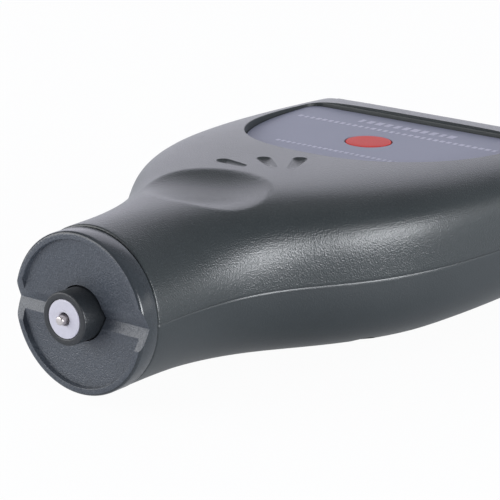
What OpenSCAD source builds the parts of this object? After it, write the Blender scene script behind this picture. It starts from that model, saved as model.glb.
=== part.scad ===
// Hand-held coating thickness gauge with a sprung probe in its round nose.
// All places are first worked out from the nose: x runs back from the plane of
// the nose rim, y to the left and z up from the parting plane of the two covers.

/* [Body] */
// Length from the plane of the nose rim to the rear end
body_l = 122.7; // [118:0.1:135]
// Greatest width, at the shoulder
body_w = 67.6; // [62:0.1:74]
// Radius of the neck behind the nose cap
neck_r = 13.2; // [12.6:0.1:14]
// Thickness of the covers' walls
wall = 1.8; // [1.4:0.1:2.2]
// Where the neck starts to flare
flare_start = 8; // [4:0.5:14]
// How softly the flare leaves the neck
flare_lead = 38.5; // [30:0.5:44]
// Distance from the rear end to the widest place
shoulder_in = 29.2; // [26:0.1:33]
// How softly the flare runs into the shoulder
flare_run = 66.5; // [50:0.5:72]
// How far each side has come in again at the rear end
rear_taper = 1.8; // [0:0.1:4]
// Length of the rear corners' rounding
corner_l = 16; // [10:0.5:20]
// Width of the rear corners' rounding
corner_w = 13; // [8:0.5:16]
// Height of the crown above the parting plane, before its blend
crown_z = 15.2; // [14.6:0.1:16.5]
// Distance from the rear end to the crown's highest place
crown_in = 52.7; // [46:0.1:60]
// Rise of the crown per millimetre from the nose
crown_rise = 0.023; // [0.01:0.001:0.03]
// Fall of the crown per millimetre to the rear
crown_fall = 0.04; // [0.02:0.001:0.05]
// Depth of the belly below the parting plane
belly_z = 15.6; // [15.3:0.1:17]
// Depth of the flat face that the gauge lies on
rest_z = 15.2; // [14.8:0.1:15.3]
// Squareness of the crown's cross-section
crown_square = 4.6; // [3.5:0.1:5.5]
// Squareness of the belly's cross-section
belly_square = 3.25; // [2.8:0.05:4]
// Chamfer of the covers' edges along the parting line
seam = 0.2; // [0.1:0.05:0.4]

/* [Finger scoop and drops] */
// Distance from the label field to the centre of the finger scoop
scoop_in = 27.6; // [25:0.1:30]
// Length of the scoop
scoop_l = 20; // [16:0.5:24]
// Width of the scoop
scoop_w = 22.5; // [18:0.5:26]
// Depth of the scoop
scoop_d = 1.9; // [1:0.1:2.4]
// Distance from the label field to the point that the drops fan out from
fan_in = 15; // [14:0.5:16]
// Place of that point across the body
fan_y = -6.8; // [-8:0.1:-5]
// Radius of the cutter at the drops' shallow inner ends
drop_r = 2.4; // [1.8:0.1:2.8]
// Radius of the cutter at the drops' slim outer ends
drop_tip_r = 0.9; // [0.7:0.1:1.1]
// Depth of the drops at their outer ends
drop_d = 0.9; // [0.5:0.1:1.1]

/* [Label field] */
// Length of the label field
label_l = 38.3; // [36:0.1:40]
// Distance from the label field to the crest of the display face
label_gap = 4.2; // [3.5:0.1:5]
// Greatest width of the label field
label_w = 50.2; // [46:0.2:52]
// Squareness of the label field's front
label_square = 2.6; // [2.2:0.1:3.2]
// Radius of its two rear corners
label_corner = 3; // [2:0.5:5]
// Height of the label's surface above the parting plane
label_z = 12.6; // [12:0.1:13]
// Thickness of the label
label_t = 0.4; // [0.2:0.1:0.6]

/* [Display] */
// Length of the display face, from its crest to the rear end
display_l = 20.2; // [19.5:0.1:22]
// Slope of the display face
facet_tilt = 20; // [17:0.5:22]
// Width of the display window
window_w = 36; // [30:0.5:37]
// Length of the display window down the slope
window_l = 14; // [12:0.5:15]
// Distance from the crest to the window
window_in = 2.4; // [2:0.1:3]
// Thickness of the window
window_t = 1.1; // [0.8:0.1:1.2]
// Rim that the window rests on
window_rim = 1.5; // [1:0.1:2]
// Thickness of the display glass
lcd_t = 2.6; // [2:0.1:2.8]
// Thickness of the backlight
backlight_t = 1.2; // [0.8:0.1:1.4]

/* [Keys] */
// Radius of the power key on the label
power_r = 4.2; // [3.5:0.1:5]
// Distance from the label field's rear edge to the power key
power_in = 17.8; // [14:0.1:22]
// Radius of the four small keys
key_r = 2.7; // [2.2:0.1:2.8]
// Distance of the small keys from the middle
key_y = 22.8; // [22.4:0.1:23.2]
// Distance from the crest to the first pair of keys
key_in = 5.2; // [5:0.1:6]
// Distance between the two pairs of keys
key_pitch = 8; // [8:0.1:9]
// Width of the flange that keeps a key in its hole
key_flange = 0.5; // [0.4:0.1:0.6]
// Travel of the keys
key_travel = 0.4; // [0.3:0.05:0.5]
// Height of the small keys over the display face
key_proud = 0.1; // [0.05:0.05:0.3]

/* [Nose cap] */
// Radius of the nose cap
cap_r = 13.35; // [13:0.05:13.6]
// Length of the cap's band, up to the covers
cap_l = 3.8; // [3.4:0.1:4.4]
// Width of the raised rim
rim_w = 1.4; // [1:0.1:1.8]
// Depth of the cap's face behind the rim
face_d = 0.85; // [0.6:0.05:1.2]
// Depth of the V-groove from the rim's plane
vee_d = 1.6; // [1.2:0.1:1.8]
// Width of the V-groove at the rim's plane
vee_w = 7; // [5:0.2:8]
// Thickness of the cap's plate behind the face
cap_plate = 2.4; // [2:0.1:2.6]
// Radius of the cap's tube in the neck
spigot_r = 10.9; // [10.5:0.1:11]
// Wall of that tube
spigot_wall = 1.5; // [1.2:0.1:1.8]
// Length of that tube behind the covers' front edge
spigot_l = 10; // [9:0.5:12]
// Rounding of the rim's outer edge
rim_round = 0.6; // [0.3:0.1:0.7]

/* [Probe] */
// Radius of the black sleeve
sleeve_r = 4.35; // [4:0.05:4.6]
// How far the sleeve stands out of the rim's plane
sleeve_out = 3.1; // [2.6:0.1:3.4]
// Radius of the white insert
insert_r = 3.2; // [2.8:0.05:3.4]
// Radius of the steel tip
tip_r = 0.75; // [0.6:0.05:0.9]
// How far the tip stands out of the insert
tip_out = 1.2; // [0.8:0.1:1.5]
// Radius of the hole round the tip
tip_hole_r = 1.1; // [1:0.05:1.3]
// Radius of the sleeve's stop flange
stop_r = 6.2; // [5.6:0.1:6.8]
// Thickness of the stop flange
stop_t = 1.2; // [1:0.1:1.6]
// Radius of the sleeve's tail, which is guided at its end
tail_r = 3.4; // [3.2:0.05:3.6]
// Length of the tail that the spring seat guides
tail_guide = 2.5; // [2:0.1:3]
// Radius of the core behind the tip
core_r = 1; // [0.9:0.05:1.1]
// Thickness of the spring's wire
spring_wire = 0.55; // [0.4:0.05:0.6]
// Turns of the probe spring
spring_turns = 5; // [4:1:6]
// Thickness of the spring seat's plate
seat_t = 2.4; // [2:0.1:3]

/* [Batteries] */
// Length of a cell
cell_l = 44.5; // [44:0.1:45]
// Radius of a cell
cell_r = 5.25; // [5:0.05:5.3]
// Room for the springs behind the cells
cell_spring_l = 4.6; // [4:0.1:5]
// Room for the contact plates before the cells
cell_plate_l = 1.4; // [1.2:0.1:1.8]
// Distance from the rear end to the battery bay
bay_in = 13.5; // [12.5:0.1:14.5]
// Wall of the battery bay
bay_wall = 1.4; // [1.2:0.1:1.6]
// Thickness of the battery door
door_t = 1.6; // [1.2:0.1:1.7]
// How far the door's face lies behind the rest face
door_set = 0.15; // [0.1:0.05:0.3]
// Radius of the door's barrel at its pivot
barrel_r = 1.35; // [1.2:0.05:1.5]
// Radius of the door's pivot pins
door_pin_r = 0.65; // [0.5:0.05:0.7]
// Wire of the cells' springs
cell_wire = 0.7; // [0.5:0.05:0.8]

/* [Boards and screws] */
// Underside of the main board above the parting plane
board_z = 2; // [1.5:0.1:2.5]
// Thickness of the main board
board_t = 1.6; // [1.2:0.1:1.8]
// How far the main board reaches out before the label field
board_lead = 5.5; // [4:0.5:6]
// Distance from the main board's rear end to the crest
board_rear = 2.5; // [2:0.5:5]
// Width of the main board
board_w = 44; // [40:0.5:45]
// Thickness of the display board
panel_board_t = 1.2; // [1:0.1:1.4]
// Radius of the screw bosses
boss_r = 3.2; // [3:0.1:3.4]
// Radius of the housing screws
screw_r = 1.25; // [1:0.05:1.4]
// Radius of the housing screws' heads
head_r = 2.3; // [2:0.1:2.4]
// Depth of the screw heads' seats below the parting plane
head_seat = 6; // [5:0.5:7]
// Length of the screws above the parting plane
screw_up = 8; // [6:0.5:9]
// Distance from the front screws to the label field
screw_front_in = 10; // [9.5:0.5:11]
// Distance of the front screws from the middle
screw_front_y = 20; // [18:0.5:21]
// Distance from the rear screws to the label field's rear edge
screw_rear_in = 2.3; // [2:0.1:4]
// Distance of the rear screws from the middle
screw_rear_y = 27; // [26:0.5:27.5]
// Radius of the small board screws
pin_screw_r = 0.9; // [0.7:0.05:1]
// Side of the largest chip
chip_l = 10; // [8:0.5:11]
// Height of the chips
chip_h = 1.6; // [1.2:0.1:2]
// Radius of the capacitors
can_r = 2; // [1.5:0.1:2.5]
// Height of the capacitors
can_h = 4.5; // [3.5:0.1:5]
// Radius of the buzzer
buzzer_r = 5.5; // [4.5:0.1:6]
// Height of the buzzer
buzzer_h = 3.5; // [3:0.1:4]
// Width of the ribbon between the boards
ribbon_w = 14; // [10:0.5:18]
// Thickness of the ribbon
ribbon_t = 0.3; // [0.2:0.05:0.4]

/* [Clearances] */
// Running clearance round pieces that slide
slide_gap = 0.2; // [0.1:0.05:0.3]
// Clearance round pieces that are fixed
fix_gap = 0.1; // [0.05:0.05:0.2]
// Clearance between a screw and its pilot hole
thread_gap = 0.05; // [0.02:0.01:0.1]

/* [Hidden] */
$fn = 48;

// Places along the body, all counted forward from its rear end
crest_x = body_l - display_l;
label_far = crest_x - label_gap;
label_near = label_far - label_l;
shoulder_x = body_l - shoulder_in;
crown_x = body_l - crown_in;
scoop_x = label_near - scoop_in;
fan_x = label_near - fan_in;
power_x = label_far - power_in;
screw_front_x = label_near - screw_front_in;
screw_rear_x = label_far - screw_rear_in;
board_x = label_near - board_lead;
board_end = crest_x - board_rear;
// Middle of the whole length, from the tip of the probe to the rear end
mid_x = (body_l - sleeve_out - tip_out) / 2;
// Front edge of the covers
neck_x = cap_l;
// Rounding of the rear end below, and the flat that breaks its edge above
heel_l = 9;
heel_z = 9;
lip = 0.7;
// Softness of the crown's highest place
crown_soft = 1;
// Belly line between the neck and its full depth
belly_start = 15;
belly_end = label_near;
belly_lead = 8;
belly_run = 7.5;
// Stretch over which the round neck turns square
square_start = 8;
square_end = label_near + 4;
// The scoop is deeper towards its rear edge
scoop_lean = 0.35;
// Steps of the covers' surfaces
neck_steps = 19;
label_steps = 15;
end_steps = 8;
skin_steps = 28;
inner_steps = 8;
// The three drops as [angle, distance of the inner end from the fan's point, of the outer end]
drops = [[22, 4.4, 11.8], [52.5, 5.8, 12.4], [84, 9.2, 14.6]];

function bez(a, b, c, d, t) =
    a * pow(1 - t, 3) + 3 * b * t * pow(1 - t, 2) + 3 * c * t * t * (1 - t) + d * pow(t, 3);
function bez_at(x, a, b, c, d, low = 0, high = 1, left = 26) =
    let (mid = (low + high) / 2)
    left == 0 ? mid
    : bez(a, b, c, d, mid) < x ? bez_at(x, a, b, c, d, mid, high, left - 1)
    : bez_at(x, a, b, c, d, low, mid, left - 1);
// Smooth step from y0 at x0 to y1 at x1, level at both ends
function sweep(x, x0, y0, lead, x1, y1, run) =
    x <= x0 ? y0 : x >= x1 ? y1
    : let (t = bez_at(x, x0, x0 + lead, x1 - run, x1)) bez(y0, y0, y1, y1, t);
function soft_min(a, b, soft) = (a + b - sqrt(pow(a - b, 2) + soft * soft)) / 2;
// Quarter round over the last l millimetres of the body, from 0 to 1
function end_round(x, l) =
    x <= body_l - l ? 0 : 1 - sqrt(max(0, 1 - pow((x - body_l + l) / l, 2)));
function blend(a, b, t) = a + (b - a) * t;

function half_w(x) =
    (x < shoulder_x ? sweep(x, flare_start, neck_r, flare_lead, shoulder_x, body_w / 2, flare_run)
    : body_w / 2 - rear_taper * pow((x - shoulder_x) / (body_l - shoulder_x), 2))
    - corner_w * end_round(x, corner_l);
function crown(x) =
    soft_min(crown_z - crown_rise * (crown_x - x), crown_z - crown_fall * (x - crown_x), crown_soft);
function belly(x) =
    blend(sweep(x, belly_start, neck_r + 0.1, belly_lead, belly_end, belly_z, belly_run),
        heel_z, end_round(x, heel_l));
function squareness(x, full) =
    let (t = min(1, max(0, (x - square_start) / (square_end - square_start))))
    2 + (full - 2) * t * t * (3 - 2 * t);
// Share of the crown's height that is left at y
function arch(x, y, full) =
    let (n = squareness(x, full)) pow(1 - pow(min(1, abs(y) / half_w(x)), n), 1 / n);
function crown_at(x, y) = crown(x) * arch(x, y, crown_square);
function belly_at(x, y) = belly(x) * arch(x, y, belly_square);
function dish(x, y) =
    let (u = 2 * (x - scoop_x) / scoop_l, v = 2 * y / scoop_w)
    scoop_d * max(0, 1 - u * u - v * v) * (1 + scoop_lean * u);

crest_z = crown(crest_x);
// Height of the display face at x
function facet(x) = crest_z - (x - crest_x) * tan(facet_tilt);
label_floor = label_z - label_t;
// Stretch of the inside that lies below the label field, and start of the rear rounding
under_near = label_near - wall;
under_far = label_far + wall;
rear_x = max(crest_x + 1, body_l - corner_l);
// Highest level of the inside of the front cover
function ceiling(x) =
    x < under_near ? crown_z
    : x <= under_far ? label_floor - wall : facet(x) - wall / cos(facet_tilt);

// One half-ring of a cover: up is 1 for the front cover and -1 for the rear one
function arc_point(x, a, w, h, n) =
    [w * sign(cos(a)) * pow(abs(cos(a)), 2 / n), h * pow(abs(sin(a)), 2 / n)];
function skin_ring(x, up) =
    let (w = half_w(x), h = up > 0 ? crown(x) : belly(x),
        n = squareness(x, up > 0 ? crown_square : belly_square),
        row = [for (k = [1 : skin_steps - 1]) arc_point(x, 180 * k / skin_steps, w, h, n)])
    concat([[x, w - seam, 0], [x, w, up * seam]],
        [for (p = row) [x, p[0], up * (p[1] - (up > 0 ? dish(x, p[0]) : 0))]],
        [[x, -w, up * seam], [x, seam - w, 0]]);
function inner_ring(x, up) =
    let (w = half_w(x) - wall, h = (up > 0 ? crown(x) : belly(x)) - wall,
        n = squareness(x, up > 0 ? crown_square : belly_square),
        back = x < crest_x ? x : crest_x + (x - crest_x) * (body_l - wall - crest_x) / (body_l - crest_x))
    [for (k = [0 : inner_steps])
        let (p = arc_point(x, 180 * k / inner_steps, w, h, n),
            z = up > 0 ? min(p[1] - dish(x, p[0]), ceiling(back)) : min(p[1], rest_z - wall))
        [back, p[0], up * max(0, z)]];

function spread(from, to, steps) = [for (i = [0 : steps - 1]) from + (to - from) * i / steps];
stations = concat(spread(neck_x, under_near, neck_steps), spread(under_near, under_far, label_steps),
    [under_far], spread(crest_x, rear_x, 2),
    [for (i = [0 : end_steps]) rear_x + (body_l - rear_x) * sin(90 * i / end_steps)]);

// Hollow half of the body, closed at the rear end and open at the neck
module half_shell(up) {
    rings = len(stations);
    outer = skin_steps + 3;
    inner = inner_steps + 1;
    base = rings * outer;
    points = concat([for (x = stations) each skin_ring(x, up)],
        [for (x = stations) each inner_ring(x, up)]);
    skin_faces = [for (i = [0 : rings - 2], k = [0 : outer - 2])
        let (a = i * outer + k, d = a + outer) each [[a, d, d + 1], [a, d + 1, a + 1]]];
    inner_faces = [for (i = [0 : rings - 2], k = [0 : inner - 2])
        let (a = base + i * inner + k, d = a + inner) each [[a, a + 1, d + 1], [a, d + 1, d]]];
    edge_faces = [for (i = [0 : rings - 2])
        let (o = i * outer, n = base + i * inner) each [
            [o, n, n + inner, o + outer],
            [o + outer - 1, o + 2 * outer - 1, n + 2 * inner - 1, n + inner - 1]]];
    last = (rings - 1) * outer;
    last_in = base + (rings - 1) * inner;
    // Inner point that lies across the neck's edge from outer point k
    function across(k) = base + floor(k * (inner - 1) / (outer - 1) + 0.5);
    neck_faces = [for (k = [0 : outer - 2]) each concat([[k, k + 1, across(k)]],
        across(k + 1) > across(k) ? [[k + 1, across(k + 1), across(k)]] : [])];
    end_faces = [
        [for (k = [outer - 1 : -1 : 0]) last + k],
        [for (k = [0 : inner - 1]) last_in + k],
        [last, last_in, last_in + inner - 1, last + outer - 1]];
    faces = concat(skin_faces, inner_faces, edge_faces, neck_faces, end_faces);
    polyhedron(points, up > 0 ? faces : [for (f = faces) [for (k = [len(f) - 1 : -1 : 0]) f[k]]]);
}

module placed() translate([-mid_x, 0, rest_z]) children();
// Turned solid on the nose's axis from points [radius, x]
module turned(points) rotate([0, 90, 0]) rotate_extrude() polygon(points);
// Frame of the display face: x down the slope from the crest, z out of the face
module on_facet() translate([crest_x, 0, crest_z]) rotate([0, facet_tilt, 0]) children();

function arc(cx, cy, r, from, to, steps) =
    [for (i = [0 : steps]) let (a = from + (to - from) * i / steps) [cx + r * cos(a), cy + r * sin(a)]];
function round_rect(l, w, r) = concat(
    arc(l / 2 - r, w / 2 - r, r, 0, 90, 6), arc(r - l / 2, w / 2 - r, r, 90, 180, 6),
    arc(r - l / 2, r - w / 2, r, 180, 270, 6), arc(l / 2 - r, r - w / 2, r, 270, 360, 6));
module slab(l, w, r, t) linear_extrude(t) polygon(round_rect(l, w, r));
module tube(r_out, r_in, h) {
    difference() {
        cylinder(r = r_out, h = h);
        translate([0, 0, -1]) cylinder(r = r_in, h = h + 2);
    }
}

// Shield-shaped outline of the label field, smaller by the inset
label_side = label_w / 2;
label_mid_x = label_far - label_corner;
function label_outline(inset) =
    let (l = label_mid_x - label_near - inset, w = label_side - inset, p = 2 / label_square, steps = 28)
    concat(arc(label_mid_x, label_corner - label_side, label_corner - inset, -90, 0, 5),
        arc(label_mid_x, label_side - label_corner, label_corner - inset, 0, 90, 5),
        [for (i = [1 : steps - 1]) let (a = 90 + 180 * i / steps)
            [label_mid_x - l * pow(-cos(a), p), w * sign(sin(a)) * pow(abs(sin(a)), p)]]);

// Wire coil along z whose radius goes from r0 to r1
module coil(r0, r1, wire_r, h, turns, per_turn = 14, sides = 6) {
    steps = turns * per_turn;
    points = [for (i = [0 : steps], k = [0 : sides - 1])
        let (a = 360 * i / per_turn, b = 360 * k / sides, t = i / steps,
            r = r0 + (r1 - r0) * t + wire_r * cos(b))
        [r * cos(a), r * sin(a), wire_r + (h - 2 * wire_r) * t + wire_r * sin(b)]];
    walls = [for (i = [0 : steps - 1], k = [0 : sides - 1])
        let (a = i * sides + k, b = i * sides + (k + 1) % sides)
        each [[a, b, b + sides], [a, b + sides, a + sides]]];
    polyhedron(points, concat(walls, [[for (k = [sides - 1 : -1 : 0]) k]],
        [[for (k = [0 : sides - 1]) steps * sides + k]]));
}

// Places that the covers and what they carry share
screw_places = [for (s = [-1, 1]) each
    [[screw_front_x, s * screw_front_y], [screw_rear_x, s * screw_rear_y]]];
board_top = board_z + board_t;
board_post_r = 2.2;
board_post_y = board_w / 2 - 4;
board_posts = [for (s = [-1, 1]) each
    [[label_near + 2, s * board_post_y], [label_far - 6, s * board_post_y]]];
board_screw_l = 4;
// Display stack below the display face
lcd_top = -wall - fix_gap;
lcd_l = window_l + 1;
lcd_w = window_w - 1;
lcd_mid = window_in + window_l / 2;
panel_top = lcd_top - lcd_t - backlight_t;
panel_l = 15.5;
panel_w = 2 * (key_y + key_r + 1.5);
panel_mid = lcd_mid - 0.2;
panel_post_r = 1.4;
panel_post_y = window_w / 2 + 1.7;
panel_screw_l = 3;
key_places = [for (x = [key_in, key_in + key_pitch], s = [1, -1]) [x, s * key_y]];
panel_post_x = key_in + key_pitch / 2;
key_flange_t = 0.8;
key_room = 4;
switch_w = 4.5;
switch_h = 1.4;
actuator_h = 0.3;
power_switch_h = 4.4;
power_flange_t = 1;
// Battery bay and its door
bay_l = cell_l + cell_spring_l + cell_plate_l;
bay_end = body_l - bay_in;
bay_x = bay_end - bay_l;
cell_pitch = 2 * cell_r + 0.4;
bay_half = cell_pitch / 2 + cell_r + 0.3;
door_gap = slide_gap;
door_z = -rest_z + door_set;
cell_z = door_z + door_t + 0.25 + cell_r;
bay_top = cell_z + cell_r * 0.9;
pivot_x = bay_end - barrel_r - 0.25;
pivot_z = door_z + barrel_r;
// Probe places along the nose's axis
face_x = face_d;
plate_back = face_d + cap_plate;
stop_x = plate_back + slide_gap;
spigot_end = cap_l + spigot_l;
seat_step = 1.2;
tail_end = spigot_end + seat_t + 4.5;
spring_r = tail_r + slide_gap + spring_wire;
spring_l = spigot_end - seat_step - stop_x - stop_t;
insert_back = 2;
core_front = insert_back + 0.6;
bobbin_wall = 0.4;

module front_cover() {
    color("dimgray") placed() difference() {
        union() {
            half_shell(1);
            for (p = screw_places)
                translate([p[0], p[1], 0])
                    cylinder(r = boss_r, h = crown_at(p[0], abs(p[1]) + boss_r) - wall / 2);
            for (p = board_posts)
                translate([p[0], p[1], board_top])
                    cylinder(r = board_post_r, h = label_floor - wall / 2 - board_top);
            on_facet() for (s = [-1, 1])
                translate([panel_post_x, s * panel_post_y, panel_top])
                    cylinder(r = panel_post_r, h = -wall / 2 - panel_top);
        }
        on_facet() translate([0, -body_w, 0]) cube([body_l, 2 * body_w, body_l]);
        translate([body_l, 0, facet(body_l)]) rotate([0, (90 + facet_tilt) / 2, 0])
            translate([-body_l / 2, -body_w, -lip]) cube([body_l, 2 * body_w, body_l]);
        translate([0, 0, label_floor]) linear_extrude(crown_z) polygon(label_outline(0));
        translate([power_x, 0, 0]) cylinder(r = power_r + slide_gap, h = crown_z);
        on_facet() {
            translate([lcd_mid, 0, -window_t - fix_gap])
                slab(window_l + 2 * fix_gap, window_w + 2 * fix_gap, 1.5, wall);
            translate([lcd_mid, 0, -2 * wall])
                slab(window_l - 2 * window_rim, window_w - 2 * window_rim, 1, 3 * wall);
            for (p = key_places)
                translate([p[0], p[1], -2 * wall]) cylinder(r = key_r + slide_gap, h = 3 * wall);
            for (p = key_places) translate([p[0], p[1], -wall - key_room])
                cylinder(r = key_r + key_flange + slide_gap, h = key_room + fix_gap);
            for (s = [-1, 1])
                translate([panel_post_x, s * panel_post_y, panel_top - 1])
                    cylinder(r = pin_screw_r + thread_gap, h = panel_screw_l + 1);
        }
        for (p = screw_places)
            translate([p[0], p[1], -1]) cylinder(r = screw_r + thread_gap, h = screw_up + 2);
        for (p = board_posts)
            translate([p[0], p[1], board_top - 1])
                cylinder(r = pin_screw_r + thread_gap, h = board_screw_l + 1);
        for (d = drops) drop(d);
    }
}
// One drop-shaped dent, shallow and wide at its inner end, deep and slim at its outer end
module drop(d) {
    near = [fan_x + d[1] * cos(d[0]), fan_y + d[1] * sin(d[0])];
    far = [fan_x + d[2] * cos(d[0]), fan_y + d[2] * sin(d[0])];
    hull() {
        translate([near[0], near[1], crown_at(near[0], near[1]) + drop_r - drop_d / 3])
            sphere(r = drop_r, $fn = 24);
        translate([far[0], far[1], crown_at(far[0], far[1]) + drop_tip_r - drop_d])
            sphere(r = drop_tip_r, $fn = 24);
    }
}

module rear_cover() {
    color("darkslategray") placed() difference() {
        union() {
            half_shell(-1);
            for (p = screw_places) {
                boss_l = belly_at(p[0], abs(p[1]) + boss_r) - wall / 2;
                translate([p[0], p[1], -boss_l]) cylinder(r = boss_r, h = boss_l);
            }
            translate([bay_x - bay_wall, -bay_half - bay_wall, -rest_z + wall / 2])
                cube([bay_l + 2 * bay_wall, 2 * (bay_half + bay_wall), bay_top + rest_z - wall / 2]);
        }
        translate([0, -body_w, -rest_z - belly_z]) cube([body_l, 2 * body_w, belly_z]);
        translate([bay_x, -bay_half, -belly_z]) cube([bay_l, 2 * bay_half, belly_z + 1]);
        for (s = [-1, 1]) translate([pivot_x, s * bay_half, pivot_z]) rotate([90, 0, 0])
            translate([0, 0, -bay_wall + 0.2]) cylinder(r = door_pin_r + fix_gap, h = 2 * (bay_wall - 0.2));
        for (p = screw_places) {
            translate([p[0], p[1], -belly_z]) cylinder(r = screw_r + fix_gap, h = belly_z + 1);
            translate([p[0], p[1], -belly_z - head_seat]) cylinder(r = head_r + slide_gap, h = belly_z);
        }
    }
}

module nose_cap() {
    rim_in = cap_r - rim_w;
    edge = arc(cap_r - rim_round, rim_round, rim_round, -90, 0, 6);
    bore_r = sleeve_r + slide_gap;
    color("dimgray") placed() difference() {
        turned(concat([[bore_r, face_x], [rim_in, face_x], [rim_in + 0.2, 0]], edge,
            [[cap_r, cap_l - 0.3], [cap_r - 0.3, cap_l], [spigot_r, cap_l], [spigot_r, spigot_end],
            [spigot_r - spigot_wall, spigot_end], [spigot_r - spigot_wall, plate_back],
            [bore_r, plate_back]]));
        translate([0, cap_r + 1, 0]) rotate([90, 0, 0]) linear_extrude(2 * cap_r + 2)
            polygon([[vee_d, 0], [-vee_d, vee_w], [-vee_d, -vee_w]]);
    }
}

module spring_seat() {
    bore_r = tail_r + slide_gap;
    plug_r = spigot_r - spigot_wall - fix_gap;
    color("gainsboro") placed() turned([[bore_r, spigot_end - seat_step], [plug_r, spigot_end - seat_step],
        [plug_r, spigot_end], [spigot_r, spigot_end], [spigot_r, spigot_end + seat_t],
        [bore_r, spigot_end + seat_t]]);
}

module probe_sleeve() {
    tail_in = tail_r - 0.6;
    color([0.1, 0.1, 0.11]) placed() turned([[insert_r, -sleeve_out], [sleeve_r - 0.3, -sleeve_out],
        [sleeve_r, 0.3 - sleeve_out], [sleeve_r, stop_x], [stop_r, stop_x], [stop_r, stop_x + stop_t],
        [tail_r, stop_x + stop_t], [tail_r, tail_end], [tail_in, tail_end], [tail_in, insert_back],
        [insert_r, insert_back]]);
}

module probe_insert() {
    color("whitesmoke") placed() turned([[tip_hole_r, -sleeve_out], [insert_r, -sleeve_out],
        [insert_r, insert_back], [tip_hole_r, insert_back]]);
}

module probe_tip() {
    crown_r = tip_r * 0.4;
    color("silver") placed() turned(concat([[0, -sleeve_out - tip_out]],
        arc(tip_r - crown_r, crown_r - sleeve_out - tip_out, crown_r, -90, 0, 5),
        [[tip_r, core_front], [0, core_front]]));
}

module probe_core() {
    color("slategray") placed() turned([[0, core_front], [core_r, core_front],
        [core_r, tail_end - 1], [0, tail_end - 1]]);
}

bobbin_in = core_r + fix_gap;
bobbin_out = tail_r - 0.6 - fix_gap;
bobbin_end = tail_end - 1.5;
module probe_bobbin() {
    color("ivory") placed() turned([[bobbin_in, insert_back], [bobbin_out, insert_back],
        [bobbin_out, core_front + 0.4], [bobbin_in + bobbin_wall, core_front + 0.4],
        [bobbin_in + bobbin_wall, bobbin_end - 1], [bobbin_out, bobbin_end - 1],
        [bobbin_out, bobbin_end], [bobbin_in, bobbin_end]]);
}

module probe_winding() {
    color("peru") placed() turned([[bobbin_in + bobbin_wall, core_front + 0.4],
        [bobbin_out - 0.2, core_front + 0.4], [bobbin_out - 0.2, bobbin_end - 1],
        [bobbin_in + bobbin_wall, bobbin_end - 1]]);
}

module probe_spring() {
    color("silver") placed() translate([stop_x + stop_t, 0, 0]) rotate([0, 90, 0])
        coil(spring_r, spring_r, spring_wire / 2, spring_l, spring_turns);
}

module label_plate() {
    color("slategray") placed() difference() {
        translate([0, 0, label_floor]) linear_extrude(label_t) polygon(label_outline(fix_gap));
        translate([power_x, 0, 0]) cylinder(r = power_r + slide_gap, h = crown_z);
    }
}

module power_key() {
    top = label_z + 0.3;
    flange_top = label_floor - wall - slide_gap;
    stem_r = power_r - 1.2;
    stem_end = board_top + power_switch_h + key_travel + fix_gap;
    color("firebrick") placed() translate([power_x, 0, 0]) rotate_extrude() polygon([[0, stem_end],
        [stem_r, stem_end], [stem_r, flange_top - power_flange_t], [power_r + 1, flange_top - power_flange_t],
        [power_r + 1, flange_top], [power_r, flange_top], [power_r, top - 0.3], [power_r - 0.3, top], [0, top]]);
}

module small_key(p) {
    flange_top = -wall - slide_gap;
    stem_end = panel_top + switch_h + actuator_h + key_travel + fix_gap;
    dome = 0.3;
    placed() on_facet() translate([p[0], p[1], 0]) rotate_extrude() polygon([[0, stem_end],
        [key_r - 1, stem_end], [key_r - 1, flange_top - key_flange_t],
        [key_r + key_flange, flange_top - key_flange_t], [key_r + key_flange, flange_top],
        [key_r, flange_top], [key_r, key_proud - dome], [key_r - dome, key_proud], [0, key_proud]]);
}
module zero_key() { color("lightgray") small_key(key_places[0]); }
module plus_key() { color("lightgray") small_key(key_places[1]); }
module minus_key() { color("lightgray") small_key(key_places[3]); }
module memory_key() { color("lightgray") small_key(key_places[2]); }

module display_window() {
    color("lightsteelblue") placed() on_facet() translate([lcd_mid, 0, -window_t - fix_gap])
        slab(window_l, window_w, 1.4, window_t);
}

module lcd_module() {
    color("darkseagreen") placed() on_facet() translate([lcd_mid, 0, lcd_top - lcd_t])
        slab(lcd_l, lcd_w, 0.4, lcd_t);
}

module backlight_panel() {
    color("white") placed() on_facet() translate([lcd_mid, 0, lcd_top - lcd_t - backlight_t])
        slab(lcd_l, lcd_w, 0.4, backlight_t);
}

module display_board() {
    color("seagreen") placed() on_facet() difference() {
        translate([panel_mid, 0, panel_top - panel_board_t]) slab(panel_l, panel_w, 3, panel_board_t);
        for (s = [-1, 1])
            translate([panel_post_x, s * panel_post_y, panel_top - 2 * panel_board_t])
                cylinder(r = pin_screw_r + fix_gap, h = 3 * panel_board_t);
    }
}

module key_switches() {
    color("gray") placed() on_facet() for (p = key_places) translate([p[0], p[1], panel_top]) {
        translate([-switch_w / 2, -switch_w / 2, 0]) cube([switch_w, switch_w, switch_h]);
        cylinder(r = 0.9, h = switch_h + actuator_h);
    }
}

// Pan-head screw whose shank runs up from z = 0
module pan_screw(r, head, head_h, l) {
    rotate_extrude() polygon(concat([[0, -head_h]],
        arc(head - head_h / 2, -head_h / 2, head_h / 2, -90, 0, 5),
        [[head, 0], [r, 0], [r, l - r / 2], [r / 2, l], [0, l]]));
}

module display_screws() {
    color("silver") placed() on_facet() for (s = [-1, 1])
        translate([panel_post_x, s * panel_post_y, panel_top - panel_board_t])
            pan_screw(pin_screw_r, pin_screw_r * 1.8, 1, panel_board_t + panel_screw_l - 0.4);
}

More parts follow.
